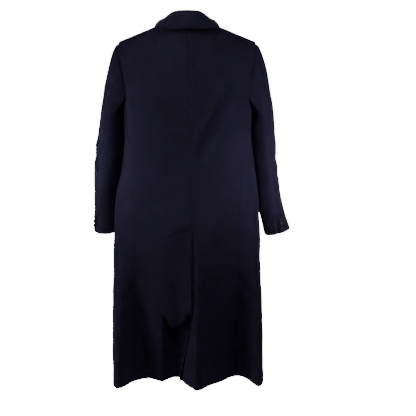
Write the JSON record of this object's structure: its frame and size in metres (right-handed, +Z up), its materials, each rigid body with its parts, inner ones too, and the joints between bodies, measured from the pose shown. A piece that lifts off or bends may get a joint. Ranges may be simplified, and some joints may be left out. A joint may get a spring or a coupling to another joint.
{
  "type": "chesterfield coat",
  "caption": "Long hollow wool overcoat filled out as if worn: collar and notched lapels, buttoned front, set-in sleeves, fluted skirt and a back vent.",
  "frame": {"origin": "between the shoulders at the height of the nape, where the wearer holds the coat", "axes": "+Z up, -Y the coat's front, +X the wearer's left"},
  "size_m": [0.6573, 0.2972, 1.203],
  "materials": {
    "navy_wool": "dense brushed wool with a short soft nap, matt",
    "dark_button": "polished dark horn-like resin"
  },
  "bodies": {
    "root": {"back_left": "navy_wool", "back_right": "navy_wool", "side_left": "navy_wool", "side_right": "navy_wool", "front_left": "navy_wool", "front_right": "navy_wool", "lapel_left": "navy_wool", "lapel_right": "navy_wool", "collar": "navy_wool", "top_sleeve_left": "navy_wool", "top_sleeve_right": "navy_wool", "under_sleeve_left": "navy_wool", "under_sleeve_right": "navy_wool", "cuff_button_left_1": "dark_button", "cuff_button_left_2": "dark_button", "cuff_button_left_3": "dark_button", "cuff_button_right_1": "dark_button", "cuff_button_right_2": "dark_button", "cuff_button_right_3": "dark_button", "front_button_1": "dark_button", "front_button_2": "dark_button", "front_button_3": "dark_button"}
  },
  "joints": []
}
